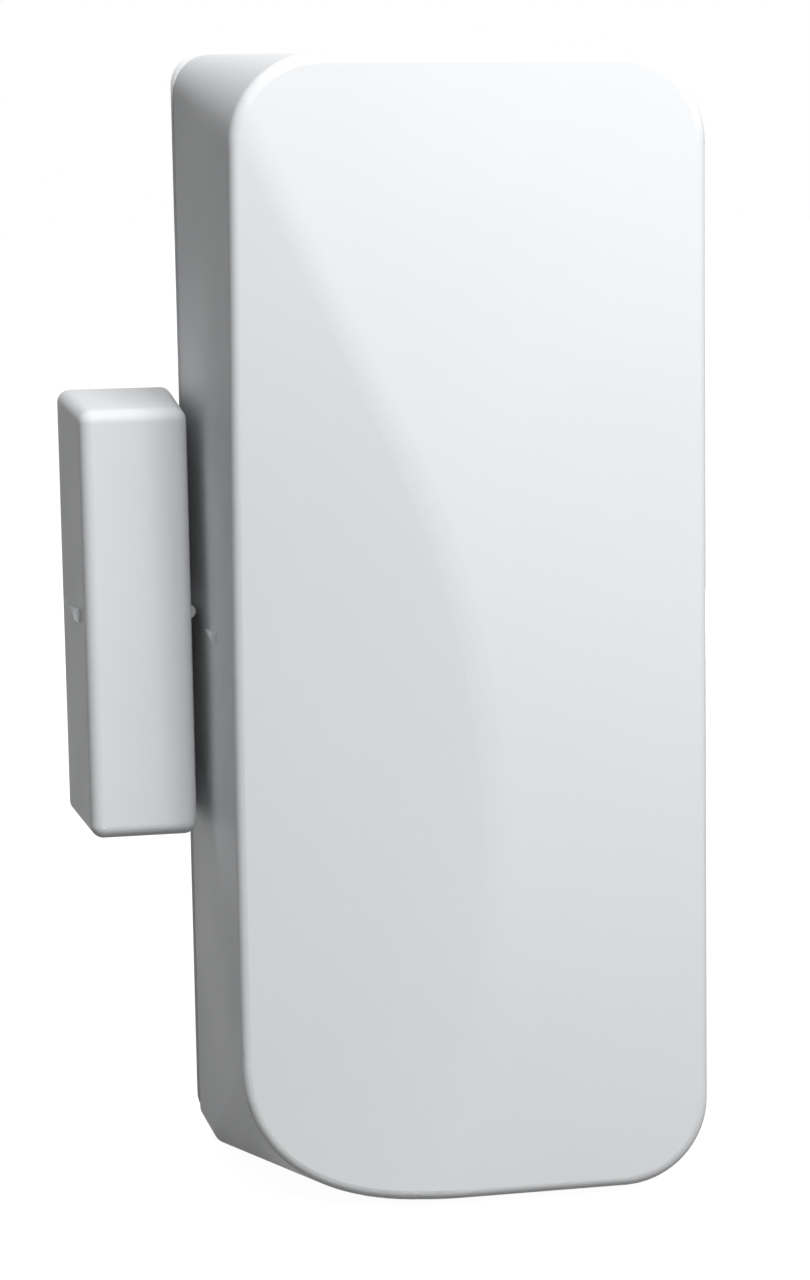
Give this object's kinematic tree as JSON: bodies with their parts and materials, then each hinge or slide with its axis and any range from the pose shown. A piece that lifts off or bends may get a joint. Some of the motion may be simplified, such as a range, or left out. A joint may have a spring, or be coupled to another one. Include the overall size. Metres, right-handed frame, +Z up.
{
  "type": "door alarm contact",
  "caption": "Wireless door contact: tall wall housing with a creased, swept front and a slim magnet block at its left side, with battery, circuit board and reed switch inside.",
  "frame": {"origin": "centre of the main housing's flat back, on the wall", "axes": "+Z up along the housing, +Y into the wall, -Y out towards the viewer, +X to the right; the magnet block stands at -X"},
  "size_m": [0.0436, 0.0264, 0.081],
  "materials": {
    "shell_white": "fine matte moulding",
    "board_green": "solder mask over glass fibre",
    "screw_zinc": "zinc plated",
    "holder_black": "matte moulding",
    "cell_sleeve": "plain shrink sleeve, bare steel at the ends",
    "contact_nickel": "nickel plated spring strip",
    "reed_glass": "clear",
    "reed_alloy": "plated nickel iron",
    "switch_black": "moulded",
    "plunger_white": "moulded",
    "button_red": "moulded",
    "shield_tin": "tinned sheet",
    "chip_black": "moulding compound",
    "pin_tin": "tinned",
    "crystal_steel": "drawn can",
    "capacitor_can": "aluminium can on a black base",
    "led_lens": "tinted lens",
    "ceramic_tan": "fired ceramic",
    "cap_solder": "soldered ends",
    "terminal_blue": "moulded",
    "clamp_brass": "pressed cage",
    "antenna_copper": "bare copper wire",
    "magnet_nickel": "nickel plated"
  },
  "bodies": {
    "housing": {"base_plate": "shell_white", "circuit_board": "board_green", "board_screws": "screw_zinc", "battery_holder": "holder_black", "battery_cell": "cell_sleeve", "battery_contact_positive": "contact_nickel", "battery_contact_negative": "contact_nickel", "reed_glass": "reed_glass", "reed_fixed_blade": "reed_alloy", "reed_upper_lead": "reed_alloy", "tamper_switch_case": "switch_black", "learn_switch_case": "switch_black", "radio_shield": "shield_tin", "microcontroller": "chip_black", "microcontroller_pins": "pin_tin", "crystal": "crystal_steel", "electrolytic_capacitor": "capacitor_can", "status_led": "led_lens", "ceramic_parts": "ceramic_tan", "ceramic_caps": "cap_solder", "terminal_block": "terminal_blue", "terminal_clamps": "clamp_brass", "terminal_screws": "screw_zinc", "antenna_wire": "antenna_copper"},
    "cover": {"front_cover": "shell_white"},
    "tamper_plunger": {"tamper_plunger": "plunger_white"},
    "learn_button": {"learn_button": "button_red"},
    "reed_blade": {"reed_moving_blade": "reed_alloy"},
    "magnet": {"magnet_base": "shell_white", "bar_magnet": "magnet_nickel"},
    "magnet_cover": {"magnet_cover": "shell_white"}
  },
  "joints": [
    {"name": "magnet_travel", "type": "slide", "parent": "housing", "child": "magnet", "axis": [-1, 0, 0], "range_m": [0, 0.05]},
    {"name": "magnet_cover_lift", "type": "slide", "parent": "magnet", "child": "magnet_cover", "axis": [0, -1, 0], "range_m": [0, 0.02]},
    {"name": "cover_lift", "type": "slide", "parent": "housing", "child": "cover", "axis": [0, -1, 0], "range_m": [0, 0.035]},
    {"name": "tamper_release", "type": "slide", "parent": "housing", "child": "tamper_plunger", "axis": [0, -1, 0], "range_m": [0, 0.0008]},
    {"name": "learn_press", "type": "slide", "parent": "housing", "child": "learn_button", "axis": [0, 1, 0], "range_m": [0, 0.0003], "stiffness_N_per_m": 4000, "springref_m": -0.0002},
    {"name": "reed_flex", "type": "hinge", "parent": "housing", "child": "reed_blade", "pos_m": [-0.012, -0.00553, 0.0041], "axis": [-1, 0, 0], "range_deg": [0, 1.2]}
  ],
  "couplings": [
    {"joint": "tamper_release", "follows": "cover_lift", "ratio": 0.0225},
    {"joint": "reed_flex", "follows": "magnet_travel", "rad_per_m": 0.4}
  ]
}
